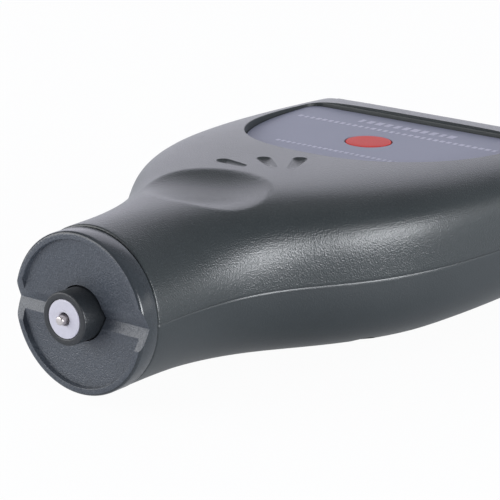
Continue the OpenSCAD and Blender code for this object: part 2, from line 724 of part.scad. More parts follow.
module board_ribbon() {
    // Lower front edge of the display board
    panel_front = panel_mid - panel_l / 2 + 1;
    up_x = crest_x + panel_front * cos(facet_tilt) + (panel_top - panel_board_t) * sin(facet_tilt);
    up_z = crest_z - panel_front * sin(facet_tilt) + (panel_top - panel_board_t) * cos(facet_tilt);
    color("orange") placed() translate([0, ribbon_w / 2, 0]) rotate([90, 0, 0]) linear_extrude(ribbon_w)
        polygon([[board_end - 3, board_top], [board_end, board_top], [up_x, up_z - 0.1 - ribbon_t],
            [up_x + 3, up_z - 0.1 - ribbon_t - 3 * tan(facet_tilt)],
            [up_x + 3, up_z - 0.1 - 3 * tan(facet_tilt)], [up_x - 0.1, up_z - 0.1],
            [board_end - 0.3, board_top + ribbon_t], [board_end - 3, board_top + ribbon_t]]);
}

module main_board() {
    color("seagreen") placed() difference() {
        translate([(board_x + board_end) / 2, 0, board_z]) slab(board_end - board_x, board_w, 3, board_t);
        for (p = board_posts) translate([p[0], p[1], 0]) cylinder(r = pin_screw_r + fix_gap, h = board_top + 1);
    }
}

module power_switch() {
    switch_l = 6;
    button_h = 1;
    color("gray") placed() translate([power_x, 0, board_top]) {
        translate([-switch_l / 2, -switch_l / 2, 0]) cube([switch_l, switch_l, power_switch_h - button_h]);
        cylinder(r = 1.7, h = power_switch_h);
    }
}

// Chips as [place along the body, place across, length, width, height]
chips = [[power_x + chip_l / 10, -1.2 * chip_l, chip_l, chip_l, chip_h],
    [power_x - 1.1 * chip_l, -0.9 * chip_l, 0.8 * chip_l, chip_l / 2, chip_h],
    [power_x - 1.1 * chip_l, 0.7 * chip_l, chip_l / 2, 0.4 * chip_l, chip_h]];
module board_chips() {
    color([0.15, 0.15, 0.16]) placed() for (c = chips)
        translate([c[0] - c[2] / 2, c[1] - c[3] / 2, board_top]) cube([c[2], c[3], c[4]]);
}

module board_capacitors() {
    color("goldenrod") placed() for (i = [-1 : 1]) translate([power_x + 6 * can_r, 3 * can_r * i, board_top])
        cylinder(r = can_r, h = can_h);
}

module buzzer() {
    color([0.2, 0.2, 0.2]) placed() translate([power_x + 2, board_w / 2 - buzzer_r - 3.5, board_top])
        tube(buzzer_r, buzzer_r / 7, buzzer_h);
}

module board_screws() {
    color("silver") placed() for (p = board_posts) translate([p[0], p[1], board_z])
        pan_screw(pin_screw_r, pin_screw_r * 1.8, 1, board_t + board_screw_l - 0.4);
}

module battery_cells() {
    can_end = 0.8;
    knob_r = 1.9;
    color("goldenrod") placed() for (s = [-1, 1])
        translate([bay_x + cell_plate_l, s * cell_pitch / 2, cell_z]) rotate([0, 90, 0])
            rotate_extrude() polygon([[0, 0], [knob_r, 0], [knob_r, can_end], [cell_r - 0.3, can_end],
                [cell_r, can_end + 0.3], [cell_r, cell_l - 0.3], [cell_r - 0.3, cell_l], [0, cell_l]]);
}

contact_t = 0.4;
module battery_springs() {
    color("silver") placed() for (s = [-1, 1])
        translate([bay_end - contact_t, s * cell_pitch / 2, cell_z]) rotate([0, -90, 0])
            coil(0.61 * cell_r, 0.34 * cell_r, cell_wire / 2, cell_spring_l - contact_t, 4, 12);
}

module battery_plates() {
    plate_w = cell_pitch / 2 + 3;
    plate_h = 7;
    color("silver") placed() {
        translate([bay_end - contact_t, -plate_w, cell_z - plate_h / 2]) cube([contact_t, 2 * plate_w, plate_h]);
        for (s = [-1, 1]) translate([bay_x, s * cell_pitch / 2 - 3, cell_z - plate_h / 2]) {
            cube([contact_t, 6, plate_h]);
            translate([contact_t, 3, plate_h / 2]) rotate([0, 90, 0])
                cylinder(r = 1.4, h = cell_plate_l - contact_t);
        }
    }
}

module battery_door() {
    half = bay_half - door_gap;
    front = bay_x + door_gap;
    grip_l = 1.2;
    color("darkslategray") placed() difference() {
        union() {
            translate([front, -half, door_z]) cube([pivot_x - front, 2 * half, door_t]);
            translate([pivot_x, half, pivot_z]) rotate([90, 0, 0]) cylinder(r = barrel_r, h = 2 * half);
            translate([pivot_x, half + bay_wall - 0.4, pivot_z]) rotate([90, 0, 0])
                cylinder(r = door_pin_r, h = 2 * (half + bay_wall - 0.4));
        }
        for (i = [0 : 3]) translate([front + 3 + 2 * grip_l * i, -6, door_z - 1]) cube([grip_l, 12, 1.4]);
    }
}

module housing_screws() {
    color("silver") placed() for (p = screw_places) translate([p[0], p[1], -head_seat])
        pan_screw(screw_r, head_r, 1.8, head_seat + screw_up);
}

front_cover();
rear_cover();
nose_cap();
spring_seat();
probe_sleeve();
probe_insert();
probe_tip();
probe_core();
probe_bobbin();
probe_winding();
probe_spring();
label_plate();
power_key();
zero_key();
plus_key();
minus_key();
memory_key();
display_window();
lcd_module();
backlight_panel();
display_board();
key_switches();
display_screws();
board_ribbon();
main_board();
power_switch();
board_chips();
board_capacitors();
buzzer();
board_screws();
battery_cells();
battery_springs();
battery_plates();
battery_door();
housing_screws();
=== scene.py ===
import bpy
import bmesh
import math
import numpy as np
from mathutils import Matrix, Vector


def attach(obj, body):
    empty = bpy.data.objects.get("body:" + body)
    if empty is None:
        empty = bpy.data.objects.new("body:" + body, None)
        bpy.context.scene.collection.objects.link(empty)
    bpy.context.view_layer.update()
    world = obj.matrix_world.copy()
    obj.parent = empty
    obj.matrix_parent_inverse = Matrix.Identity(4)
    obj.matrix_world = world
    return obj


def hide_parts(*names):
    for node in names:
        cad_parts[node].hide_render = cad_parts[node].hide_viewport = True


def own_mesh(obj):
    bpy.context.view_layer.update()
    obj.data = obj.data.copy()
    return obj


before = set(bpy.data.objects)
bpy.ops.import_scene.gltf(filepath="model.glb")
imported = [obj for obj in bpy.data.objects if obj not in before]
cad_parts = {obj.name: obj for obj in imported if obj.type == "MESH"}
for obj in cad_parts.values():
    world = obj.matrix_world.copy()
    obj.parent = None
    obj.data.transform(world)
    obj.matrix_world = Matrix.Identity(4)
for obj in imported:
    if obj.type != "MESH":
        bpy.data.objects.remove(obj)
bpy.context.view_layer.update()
print("frame loaded:", len(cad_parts), "nodes")

scene = bpy.context.scene
scene.view_settings.view_transform = "Standard"
mm = 0.001
noseX, restZ = 59.2, 15.2  # from the nose frame to the part frame, mm


def at(x, y, z):
    return Vector(((x - noseX) * mm, y * mm, (z + restZ) * mm))


# camera, solved from the outline in the photograph
cameraPose = {
    "place": (-303.09, -216.24, 124.11),
    "turn": (1.71913902, -0.844211597, 0.646302859),
    "focal": 2189.73,
    "frame": 500,
}


def addCamera(s):
    axis = Vector(s["turn"])
    look = Matrix.Rotation(axis.length, 3, axis.normalized())
    right, down, ahead = look.row[0], look.row[1], look.row[2]
    pose = Matrix((right, -down, -ahead)).transposed().to_4x4()
    pose.translation = Vector(s["place"]) * mm
    lens = bpy.data.cameras.new("photoCamera")
    lens.sensor_width = 36
    lens.lens = s["focal"] / s["frame"] * 36
    lens.clip_start, lens.clip_end = 0.01, 20
    rig = bpy.data.objects.new("photoCamera", lens)
    rig.matrix_world = pose
    scene.collection.objects.link(rig)
    scene.camera = rig


addCamera(cameraPose)
print("camera set")


# small helpers for meshes

def newPiece(name, verts, faces):
    mesh = bpy.data.meshes.new(name)
    mesh.from_pydata([tuple(v) for v in verts], [], faces)
    mesh.update()
    piece = bpy.data.objects.new(name, mesh)
    scene.collection.objects.link(piece)
    return piece


def soften(piece, angle=35):
    piece.data.shade_smooth()
    piece.data.set_sharp_from_angle(angle=math.radians(angle))


def bake(piece):
    bpy.context.view_layer.update()
    graph = bpy.context.evaluated_depsgraph_get()
    solid = bpy.data.meshes.new_from_object(piece.evaluated_get(graph))
    piece.modifiers.clear()
    old = piece.data
    piece.data = solid
    solid.name = piece.name
    if old.users == 0:
        bpy.data.meshes.remove(old)
    return piece


def outward(piece, merge=0.0):
    bm = bmesh.new()
    bm.from_mesh(piece.data)
    if merge:
        bmesh.ops.remove_doubles(bm, verts=bm.verts, dist=merge)
    bmesh.ops.recalc_face_normals(bm, faces=bm.faces)
    bm.to_mesh(piece.data)
    bm.free()
    return piece


def cutAway(piece, cutters):
    for cutter in cutters:
        cut = piece.modifiers.new("cut", "BOOLEAN")
        cut.operation, cut.solver, cut.object = "DIFFERENCE", "EXACT", cutter
        bake(piece)
        bpy.data.objects.remove(cutter)


def breakEdges(piece, width, segments, angle):
    edge = piece.modifiers.new("edges", "BEVEL")
    edge.width, edge.segments = width * mm, segments
    edge.limit_method, edge.angle_limit = "ANGLE", math.radians(angle)
    bake(piece)


def joined(pieces, name):
    bm = bmesh.new()
    for piece in pieces:
        bm.from_mesh(piece.data)
        bpy.data.objects.remove(piece)
    mesh = bpy.data.meshes.new(name)
    bm.to_mesh(mesh)
    bm.free()
    whole = bpy.data.objects.new(name, mesh)
    scene.collection.objects.link(whole)
    return whole


def prism(outline, low, high, turn=None):
    turn = turn or Matrix.Identity(4)
    count = len(outline)
    flat = [turn @ Vector((x, y, z)) for z in (low, high) for x, y in outline]
    verts = [at(*v) for v in flat]
    sides = [(i, (i + 1) % count, (i + 1) % count + count, i + count) for i in range(count)]
    faces = [tuple(range(count - 1, -1, -1)), tuple(range(count, 2 * count))] + sides
    return outward(newPiece("cutter", verts, faces))


def circlePoints(cx, cy, r, count=64):
    return [(cx + r * math.cos(2 * math.pi * i / count), cy + r * math.sin(2 * math.pi * i / count))
            for i in range(count)]


def arcPoints(cx, cy, r, start, end, count):
    turns = np.radians(np.linspace(start, end, count + 1))
    return [(cx + r * math.cos(a), cy + r * math.sin(a)) for a in turns]


def roundRect(cx, cy, length, width, r, count=8):
    lx, ly = length / 2 - r, width / 2 - r
    points = []
    for turn, sx, sy in ((0, 1, 1), (90, -1, 1), (180, -1, -1), (270, 1, -1)):
        points += arcPoints(cx + sx * lx, cy + sy * ly, r, turn, turn + 90, count)
    return points


# turned about the nose's axis from points (radius, x)
def turnedPiece(name, profile, segments=128, closed=True):
    verts, faces = [], []
    count = len(profile)
    for i in range(segments):
        a = 2 * math.pi * i / segments
        verts += [at(x, r * math.cos(a), r * math.sin(a)) for r, x in profile]
    for i in range(segments):
        j = (i + 1) % segments
        for k in range(count if closed else count - 1):
            n = (k + 1) % count
            faces.append((i * count + k, i * count + n, j * count + n, j * count + k))
    return outward(newPiece(name, verts, faces), 1e-7)


# breaks the outer corners of a profile; inner corners stay sharp, so that what seats there has room
def rounded(profile, radius, steps=4):
    out = []
    count = len(profile)
    area = sum(p[0] * q[1] - p[1] * q[0] for p, q in zip(profile, profile[1:] + profile[:1]))
    for i, p in enumerate(profile):
        back, ahead = Vector(profile[i - 1]) - Vector(p), Vector(profile[(i + 1) % count]) - Vector(p)
        r = min(radius, back.length * 0.45, ahead.length * 0.45)
        inside = (back.x * ahead.y - back.y * ahead.x) * area > 0
        if p[0] < 1e-6 or r < 1e-4 or inside or abs(back.normalized().dot(ahead.normalized())) > 0.98:
            out.append(p)
            continue
        start, end = Vector(p) + back.normalized() * r, Vector(p) + ahead.normalized() * r
        for t in np.linspace(0, 1, steps + 1):
            q = start * (1 - t) ** 2 + 2 * Vector(p) * t * (1 - t) + end * t * t
            out.append((q.x, q.y))
    return out


# the housing's form, mm from the nose rim
bodyForm = {
    "length": 122.7, "width": 67.6, "neck": 13.2, "wall": 1.8, "front": 3.95,
    "flare": (8, 38.5, 93.5, 66.5), "rearTaper": 1.8, "corner": (16, 13), "heel": (9, 9),
    "crown": (15.2, 70, 0.023, 0.04, 1.0), "belly": (15, 60, 8, 7.5, 15.6),
    "square": (8, 64, 4.6, 3.25), "proud": 0.1, "proudFade": 3.0, "frontRound": 0.35,
    "edgeUp": ((0.05, 0), (0.015, 0.015), (0, 0.05)),
    "edgeDown": ((0.1, 0), (0.07, 0.02), (0.02, 0.19), (0, 0.3)),
    "scoop": (32.4, 20, 22.5, 1.9, 0.35),
    "crest": 102.5, "tilt": 20, "lip": 0.7,
    "labelNear": 60, "labelFar": 98.3, "labelWidth": 50.2, "labelCorner": 3, "labelSquare": 2.6,
    "labelTop": 12.6, "labelThick": 0.4, "labelRim": 0.25, "labelFit": 0.1, "labelEdge": 0.1,
    "recessReach": 0.5, "recessSteep": 0.6,
    "ringPoints": 120,
}
b = bodyForm


def bezier(p0, p1, p2, p3, t):
    return p0 * (1 - t) ** 3 + 3 * p1 * t * (1 - t) ** 2 + 3 * p2 * t * t * (1 - t) + p3 * t ** 3


def sweep(x, x0, y0, lead, x1, y1, run):
    t = np.linspace(0, 1, 1500)
    return np.interp(x, bezier(x0, x0 + lead, x1 - run, x1, t), bezier(y0, y0, y1, y1, t))


def softMin(p, q, soft):
    return (p + q - np.sqrt((p - q) ** 2 + soft * soft)) / 2


def endRound(x, length):
    u = np.clip((np.asarray(x, float) - b["length"] + length) / length, 0, 1)
    return 1 - np.sqrt(1 - u * u)


def halfWidth(x):
    x = np.asarray(x, float)
    start, lead, shoulder, run = b["flare"]
    w = sweep(x, start, b["neck"], lead, shoulder, b["width"] / 2, run)
    w = w - b["rearTaper"] * (np.maximum(0, x - shoulder) / (b["length"] - shoulder)) ** 2
    return w - b["corner"][1] * endRound(x, b["corner"][0])


def crown(x):
    top, peak, rise, fall, soft = b["crown"]
    return softMin(top - rise * (peak - x), top - fall * (x - peak), soft)


def belly(x):
    start, end, lead, run, deep = b["belly"]
    z = sweep(x, start, b["neck"] + 0.1, lead, end, deep, run)
    return z + (b["heel"][1] - z) * endRound(x, b["heel"][0])


def squareness(x, full):
    t = np.clip((np.asarray(x, float) - b["square"][0]) / (b["square"][1] - b["square"][0]), 0, 1)
    return 2 + (full - 2) * t * t * (3 - 2 * t)


def dish(x, y):
    cx, length, width, deep, lean = b["scoop"]
    u, v = 2 * (x - cx) / length, 2 * y / width
    return deep * np.maximum(0, 1 - u * u - v * v) * (1 + lean * u)


def archAt(x, y, height, full):
    n = squareness(x, full)
    return height(x) * (1 - np.minimum(1, np.abs(y) / halfWidth(x)) ** n) ** (1 / n)


def crownAt(x, y):
    return archAt(np.asarray(x, float), np.asarray(y, float), crown, b["square"][2])


def bellyAt(x, y):
    return archAt(np.asarray(x, float), np.asarray(y, float), belly, b["square"][3])


crestZ = float(crown(b["crest"]))


def facetZ(x):
    return crestZ - (x - b["crest"]) * math.tan(math.radians(b["tilt"]))


def lipZ(x):
    slope = math.radians((90 + b["tilt"]) / 2)
    return facetZ(b["length"]) - b["lip"] / math.cos(slope) - (x - b["length"]) * math.tan(slope)


labelFloor = b["labelTop"] - b["labelThick"]


# shield outline of the label field: superellipse in front, straight rear edge
def labelOutline(inset):
    side, corner, power = b["labelWidth"] / 2, b["labelCorner"], 2 / b["labelSquare"]
    midX = b["labelFar"] - corner
    length, width = midX - b["labelNear"] - inset, side - inset
    turns = np.radians(np.linspace(90, 270, 73)[1:-1])
    front = [(midX - length * abs(math.cos(t)) ** power,
              math.copysign(width * abs(math.sin(t)) ** power, math.sin(t))) for t in turns]
    return (arcPoints(midX, corner - side, corner - inset, -90, 0, 10)
            + arcPoints(midX, side - corner, corner - inset, 0, 90, 10) + front)


facetTurn = Matrix.Translation((b["crest"], 0, crestZ)) @ Matrix.Rotation(math.radians(b["tilt"]), 4, "Y")


# points evenly spaced along a half superellipse
def arcRing(w, h, n, count):
    a = np.linspace(0, math.pi, 721)
    y = w * np.sign(np.cos(a)) * np.abs(np.cos(a)) ** (2 / n)
    z = h * np.abs(np.sin(a)) ** (2 / n)
    run = np.concatenate([[0], np.cumsum(np.hypot(np.diff(y), np.diff(z)))])
    even = np.linspace(0, run[-1], count)
    return np.interp(even, run, y), np.interp(even, run, z)


def stationList():
    b0, b1 = b["crest"] - 3, b["crest"] + 3
    rear = b["length"] - b["corner"][0]
    r = b["frontRound"]
    return np.concatenate([b["front"] + r * (1 - np.cos(np.radians(np.linspace(0, 90, 7)))),
                           np.linspace(b["front"] + r, b0, 130)[1:-1], np.linspace(b0, b1, 26)[:-1],
                           np.linspace(b1, rear, 4)[:-1],
                           rear + b["corner"][0] * np.sin(np.radians(np.linspace(0, 90, 30)))])


# each cover's edge at the parting line is a list of (inwards, away from the line)
def coverShell(name, up):
    xs = stationList()
    n = squareness(xs, b["square"][2] if up > 0 else b["square"][3])
    w, h = halfWidth(xs), (crown(xs) if up > 0 else belly(xs))
    lead = np.clip(1 - (xs - b["front"]) / b["frontRound"], 0, 1)
    trim = b["frontRound"] * (1 - np.sqrt(1 - lead * lead))
    outer, inner = [], []
    lip = b["edgeUp"] if up > 0 else b["edgeDown"]
    seam = lip[-1][1]
    for i, x in enumerate(xs):
        y, z = arcRing(w[i] - trim[i], h[i] - trim[i], n[i], b["ringPoints"])
        if up > 0:
            z = z - dish(x, y)
            z = softMin(softMin(z, facetZ(x), 0.25), lipZ(x), 0.25)
        else:
            z = softMin(z, restZ, 0.12) if x > 30 else z
        y, z = y[1:-1], np.maximum(z[1:-1], seam)
        out = 0 if up > 0 else b["proud"] * min(1, (x - b["front"]) / 12)
        y = y + np.sign(y) * out * np.maximum(0, 1 - z / b["proudFade"])
        edge = [(w[i] - trim[i] + out - inwards, away) for inwards, away in lip]
        outer.append([(x, p, up * q) for p, q in edge] + [(x, p, up * q) for p, q in zip(y, z)]
                     + [(x, -p, up * q) for p, q in reversed(edge)])
        yi, zi = arcRing(w[i] - b["wall"], h[i] - b["wall"], n[i], len(outer[-1]))
        past = max(0, x - b["crest"])  # behind the crest the inner wall is drawn in
        back = x - past * b["wall"] / (b["length"] - b["crest"])
        if up > 0:
            zi = zi - dish(x, yi)
            under = b["labelNear"] - b["wall"] < back < b["labelFar"] + b["wall"]
            slanted = facetZ(back) - b["wall"] / math.cos(math.radians(b["tilt"]))
            roof = labelFloor - b["wall"] if under else slanted
            zi = np.minimum(zi, roof if back > b["labelNear"] - b["wall"] else 99)
        else:
            zi = np.minimum(zi, restZ - b["wall"])
        zi = np.maximum(zi, 0)
        inner.append([(back, p, up * q) for p, q in zip(yi, zi)])
    count, rings = len(outer[0]), len(xs)
    verts = [at(*p) for ring in outer + inner for p in ring]
    base = rings * count
    faces = []
    for i in range(rings - 1):
        o, m = i * count, base + i * count
        for k in range(count - 1):
            faces.append((o + k, o + count + k, o + count + k + 1, o + k + 1))
            faces.append((m + k, m + k + 1, m + count + k + 1, m + count + k))
        faces.append((o, m, m + count, o + count))
        faces.append((o + count - 1, o + 2 * count - 1, m + 2 * count - 1, m + count - 1))
    faces += [(k, k + 1, base + k + 1, base + k) for k in range(count - 1)]
    last, lastIn = (rings - 1) * count, base + (rings - 1) * count
    faces.append(tuple(last + k for k in range(count)))
    faces.append(tuple(lastIn + k for k in range(count)))
    faces.append((last, lastIn, lastIn + count - 1, last + count - 1))
    return outward(newPiece(name, verts, faces), 1e-8)


# three drop-shaped dents: (turn, inner end, outer end) from the fan's point
dropForm = {"fan": (45, -6.8), "drops": ((22, 5.0, 11.2), (54, 6.2, 11.5), (84, 9.6, 14.2)),
            "innerRadius": 1.2, "tipRadius": 1.9, "deep": 0.55, "innerDeep": 0.3}


def bowlPoints(centre, r, count=96):
    turns = np.linspace(0, 2 * math.pi, count, endpoint=False)
    return [centre + Vector((math.cos(t) * math.cos(u), math.sin(t) * math.cos(u), math.sin(u))) * r * mm
            for u in np.radians(np.linspace(-90, 0, count // 4 + 1)) for t in turns]


def dropCutter(turn, inner, outer):
    s = dropForm
    c, n = math.cos(math.radians(turn)), math.sin(math.radians(turn))
    bm = bmesh.new()
    for reach, r, deep in ((inner, s["innerRadius"], s["innerDeep"]), (outer, s["tipRadius"], s["deep"])):
        x, y = s["fan"][0] + reach * c, s["fan"][1] + reach * n
        for p in bowlPoints(at(x, y, float(crownAt(x, y)) + r - deep), r):
            bm.verts.new(p)
    bmesh.ops.remove_doubles(bm, verts=bm.verts, dist=1e-7)
    bmesh.ops.convex_hull(bm, input=bm.verts)
    bmesh.ops.delete(bm, geom=[v for v in bm.verts if not v.link_faces], context="VERTS")
    mesh = bpy.data.meshes.new("drop")
    bm.to_mesh(mesh)
    bm.free()
    piece = bpy.data.objects.new("drop", mesh)
    scene.collection.objects.link(piece)
    return outward(piece)


# label recess with a rounded upper edge that follows the skin
def recessCutter():
    r = b["labelRim"]
    rings = [[(x, y, labelFloor) for x, y in labelOutline(0)]]
    for t in np.radians((0, 20, 40, 60, 78)):
        rings.append([(x, y, float(crownAt(x, y)) - r + r * math.sin(t))
                      for x, y in labelOutline(-r * (1 - math.cos(t)))])
    spread = r * (1 - math.cos(t)) + 0.08
    rings.append([(x, y, float(crownAt(x, y)) + 0.1) for x, y in labelOutline(-spread)])
    rings.append([(x, y, 30) for x, y in labelOutline(-spread)])
    return loft(rings)


def loft(rings):
    count = len(rings[0])
    faces = []
    for k in range(len(rings) - 1):
        low, high = k * count, (k + 1) * count
        faces += [(low + i, low + (i + 1) % count, high + (i + 1) % count, high + i) for i in range(count)]
    last = (len(rings) - 1) * count
    faces += [tuple(range(count - 1, -1, -1)), tuple(range(last, last + count))]
    return outward(newPiece("cutter", [at(*p) for ring in rings for p in ring], faces))


# openings of the front cover
displayForm = {"window": (36, 14, 2.4, 1.1, 1.5), "keyRadius": 2.7, "keySide": 22.8, "keyDown": (5.2, 13.2),
               "power": (80.5, 4.2), "slide": 0.2, "fix": 0.1}
d = displayForm
windowMid = d["window"][2] + d["window"][1] / 2
keyPlaces = {"zero_key": (d["keyDown"][0], d["keySide"]), "plus_key": (d["keyDown"][0], -d["keySide"]),
             "memory_key": (d["keyDown"][1], d["keySide"]), "minus_key": (d["keyDown"][1], -d["keySide"])}


def frontCover():
    shell = coverShell("frontShell", 1)
    width, length, _, thick, rim = d["window"]
    seat = roundRect(windowMid, 0, length + 2 * d["fix"], width + 2 * d["fix"], 1.5)
    sight = roundRect(windowMid, 0, length - 2 * rim, width - 2 * rim, 1)
    holes = [prism(circlePoints(x, y, d["keyRadius"] + d["slide"]), -3.6, 1.8, facetTurn)
             for x, y in keyPlaces.values()]
    holes.append(prism(circlePoints(d["power"][0], 0, d["power"][1] + d["slide"]), 0, 30))
    cutAway(shell, [recessCutter(), prism(seat, -thick - d["fix"], 3, facetTurn),
                    prism(sight, -3.6, 3, facetTurn), joined(holes, "holes")]
            + [dropCutter(*place) for place in dropForm["drops"]])
    soften(shell, 26)
    return shell


# battery bay and screw holes of the rear cover
bayForm = {"start": 58.7, "length": 50.5, "half": 10.95, "wall": 1.4, "top": -3.225,
           "screws": ((50, 20), (50, -20), (96, 27), (96, -27)), "bossRadius": 3.2, "bossHole": 1.35,
           "headHole": 2.5, "headSeat": 6}


def tubeAt(x, y, low, high, outer, inner, count=48):
    verts, faces = [], []
    for r, z in ((outer, low), (outer, high), (inner, high), (inner, low)):
        verts += [at(px, py, z) for px, py in circlePoints(x, y, r, count)]
    for k in range(4):
        for i in range(count):
            j, n = (i + 1) % count, (k + 1) % 4
            faces.append((k * count + i, k * count + j, n * count + j, n * count + i))
    return outward(newPiece("tube", verts, faces))


def bayWalls(s):
    x0, x1, y1, top, w = s["start"], s["start"] + s["length"], s["half"], s["top"], s["wall"]
    low = -restZ + 0.9
    outerBox = [(x0 - w, -y1 - w), (x1 + w, -y1 - w), (x1 + w, y1 + w), (x0 - w, y1 + w)]
    innerBox = [(x0, -y1), (x1, -y1), (x1, y1), (x0, y1)]
    verts = [at(x, y, z) for ring, z in ((outerBox, low), (outerBox, top), (innerBox, top), (innerBox, low))
             for x, y in ring]
    faces = [(k * 4 + i, k * 4 + (i + 1) % 4, (k + 1) % 4 * 4 + (i + 1) % 4, (k + 1) % 4 * 4 + i)
             for k in range(4) for i in range(4)]
    return outward(newPiece("bay", verts, faces))


def rearCover():
    s = bayForm
    shell = coverShell("rearShell", -1)
    x0, x1 = s["start"], s["start"] + s["length"]
    door = prism([(x0, -s["half"]), (x1, -s["half"]), (x1, s["half"]), (x0, s["half"])], -18, -12)
    holes = [prism(circlePoints(x, y, s["headHole"]), -18, -s["headSeat"]) for x, y in s["screws"]]
    cutAway(shell, [door, joined(holes, "holes")])
    extra = [tubeAt(x, y, b["wall"] / 2 - float(bellyAt(x, abs(y) + s["bossRadius"])), -s["headSeat"],
                    s["bossRadius"], s["headHole"]) for x, y in s["screws"]]
    extra += [tubeAt(x, y, -s["headSeat"], 0, s["bossRadius"], s["bossHole"]) for x, y in s["screws"]]
    shell = joined([shell, bayWalls(s)] + extra, "rearShell")
    soften(shell, 32)
    return shell


frontShell, rearShell = frontCover(), rearCover()
print("covers built:", len(frontShell.data.polygons), len(rearShell.data.polygons), "faces")

# nose cap with its rim and V-groove
capForm = {"radius": 13.35, "length": 3.8, "rim": 1.4, "face": 0.85, "plate": 2.4, "bore": 4.55,
           "spigot": 10.9, "spigotWall": 1.5, "spigotEnd": 13.8, "rimRound": 0.6, "veeDeep": 1.6, "veeWide": 7,
           "edge": 0.16, "bandDeep": 0.35}


def noseCap():
    s = capForm
    rimIn, back = s["radius"] - s["rim"], s["face"] + s["plate"]
    turn, spigotIn = s["rimRound"], s["spigot"] - s["spigotWall"]
    edge = arcPoints(s["radius"] - turn, turn, turn, -90, 0, 8)
    soft = [(rimIn + 0.2 + 0.12 * math.cos(math.radians(a)) + 0.05, 0.12 + 0.12 * math.sin(math.radians(a)))
            for a in (180, 195, 210, 225, 240, 255, 270)]
    profile = [(s["bore"], s["face"]), (rimIn, s["face"])] + soft + edge + [
        (s["radius"], s["length"] - 0.3), (s["radius"] - 0.08, s["length"] - 0.1),
        (s["radius"] - 0.3, s["length"]), (s["spigot"], s["length"]), (s["spigot"], s["spigotEnd"]),
        (spigotIn, s["spigotEnd"]), (spigotIn, back), (s["bore"], back)]
    cap = turnedPiece("noseBand", profile, 160)
    deep, wide = s["veeDeep"], s["veeWide"]
    tri = [(deep, 0), (-deep, wide), (-deep, -wide)]
    verts = [at(x, y, z) for y in (-s["radius"] - 2, s["radius"] + 2) for x, z in tri]
    faces = [(0, 1, 2), (3, 5, 4), (0, 3, 4, 1), (1, 4, 5, 2), (2, 5, 3, 0)]
    cutAway(cap, [outward(newPiece("cutter", verts, faces))])
    breakEdges(cap, s["edge"], 4, 38)
    soften(cap, 23.5)
    return cap


noseBand = noseCap()

# probe: sleeve, insert and tip
probeForm = {"sleeve": 4.35, "out": 3.1, "insert": 3.2, "tip": 0.75, "tipOut": 1.2, "hole": 1.1,
             "stop": 6.2, "stopAt": 3.45, "stopThick": 1.17, "tail": 3.4, "tailWall": 0.6, "tailEnd": 20.7,
             "insertBack": 2, "coreFront": 2.6, "proud": 0.02}


def probePieces():
    s = probeForm
    tailIn, stopBack, disc = s["tail"] - s["tailWall"], s["stopAt"] + s["stopThick"], s["insert"] - s["proud"]
    sleeve = turnedPiece("probeCollar", rounded([
        (s["insert"], -s["out"]), (s["sleeve"], -s["out"]), (s["sleeve"], s["stopAt"]),
        (s["stop"], s["stopAt"]), (s["stop"], stopBack), (s["tail"], stopBack), (s["tail"], s["tailEnd"]),
        (tailIn, s["tailEnd"]), (tailIn, s["insertBack"]), (s["insert"], s["insertBack"])], 0.3), 96)
    insert = turnedPiece("probeDisc", rounded([
        (s["hole"], -s["out"]), (disc, -s["out"] - s["proud"]), (disc, s["insertBack"]),
        (s["hole"], s["insertBack"])], 0.14), 96)
    crownR = s["tip"] * 0.4
    front = -s["out"] - s["tipOut"]
    tipProfile = [(0, front - s["proud"])] + arcPoints(s["tip"] - crownR, crownR + front, crownR, -80, 0, 8) + [
        (s["tip"], s["coreFront"]), (0, s["coreFront"])]
    tip = turnedPiece("probeTip", tipProfile, 64)
    for piece in (sleeve, insert, tip):
        soften(piece, 40)
    return sleeve, insert, tip


probeCollar, probeDisc, probeTip = probePieces()
print("nose and probe built")


# label film in its field
def labelFilm():
    film = prism(labelOutline(b["labelFit"]), labelFloor, b["labelTop"])
    film.name = "labelFilm"
    cutAway(film, [prism(circlePoints(d["power"][0], 0, d["power"][1] + d["slide"], 96), 5, 20)])
    breakEdges(film, b["labelEdge"], 2, 50)
    soften(film, 20)
    return film


film = labelFilm()


# keys as domed buttons, turned about their own axis
def keyPiece(name, profile, turn):
    count, segments = len(profile), 72
    verts, faces = [], []
    for i in range(segments):
        a = 2 * math.pi * i / segments
        verts += [at(*(turn @ Vector((r * math.cos(a), r * math.sin(a), z)))) for r, z in profile]
    for i in range(segments):
        j = (i + 1) % segments
        faces += [(i * count + k, i * count + (k + 1) % count, j * count + (k + 1) % count, j * count + k)
                  for k in range(count)]
    piece = outward(newPiece(name, verts, faces), 1e-7)
    soften(piece, 40)
    return piece


keyForm = {"power": [(0, 8.5), (3, 8.5), (3, 9.2), (5.2, 9.2), (5.2, 10.2), (4.2, 10.2), (4.2, 12.55),
                     (4.14, 12.63), (3.95, 12.67), (3.2, 12.69), (2, 12.7), (0, 12.7)],
           "small": [(0, -4.2), (1.7, -4.2), (1.7, -2.8), (3.2, -2.8), (3.2, -2), (2.7, -2), (2.7, -0.25),
                     (2.64, -0.1), (2.4, 0.04), (1.4, 0.09), (0, 0.1)]}
powerCap = keyPiece("powerCap", keyForm["power"], Matrix.Translation((d["power"][0], 0, 0)))
smallCaps = {node: keyPiece(node.replace("_key", "Cap"), keyForm["small"],
                            facetTurn @ Matrix.Translation((place[0], place[1], 0)))
             for node, place in keyPlaces.items()}
print("label and keys built")


# shader groups and materials
def shaderGroup(name, inputs, outputs):
    group = bpy.data.node_groups.new(name, "ShaderNodeTree")
    for label, kind, value in inputs:
        socket = group.interface.new_socket(label, in_out="INPUT", socket_type=kind)
        socket.default_value = value
    for label, kind in outputs:
        group.interface.new_socket(label, in_out="OUTPUT", socket_type=kind)
    return group, group.nodes.new("NodeGroupInput"), group.nodes.new("NodeGroupOutput")


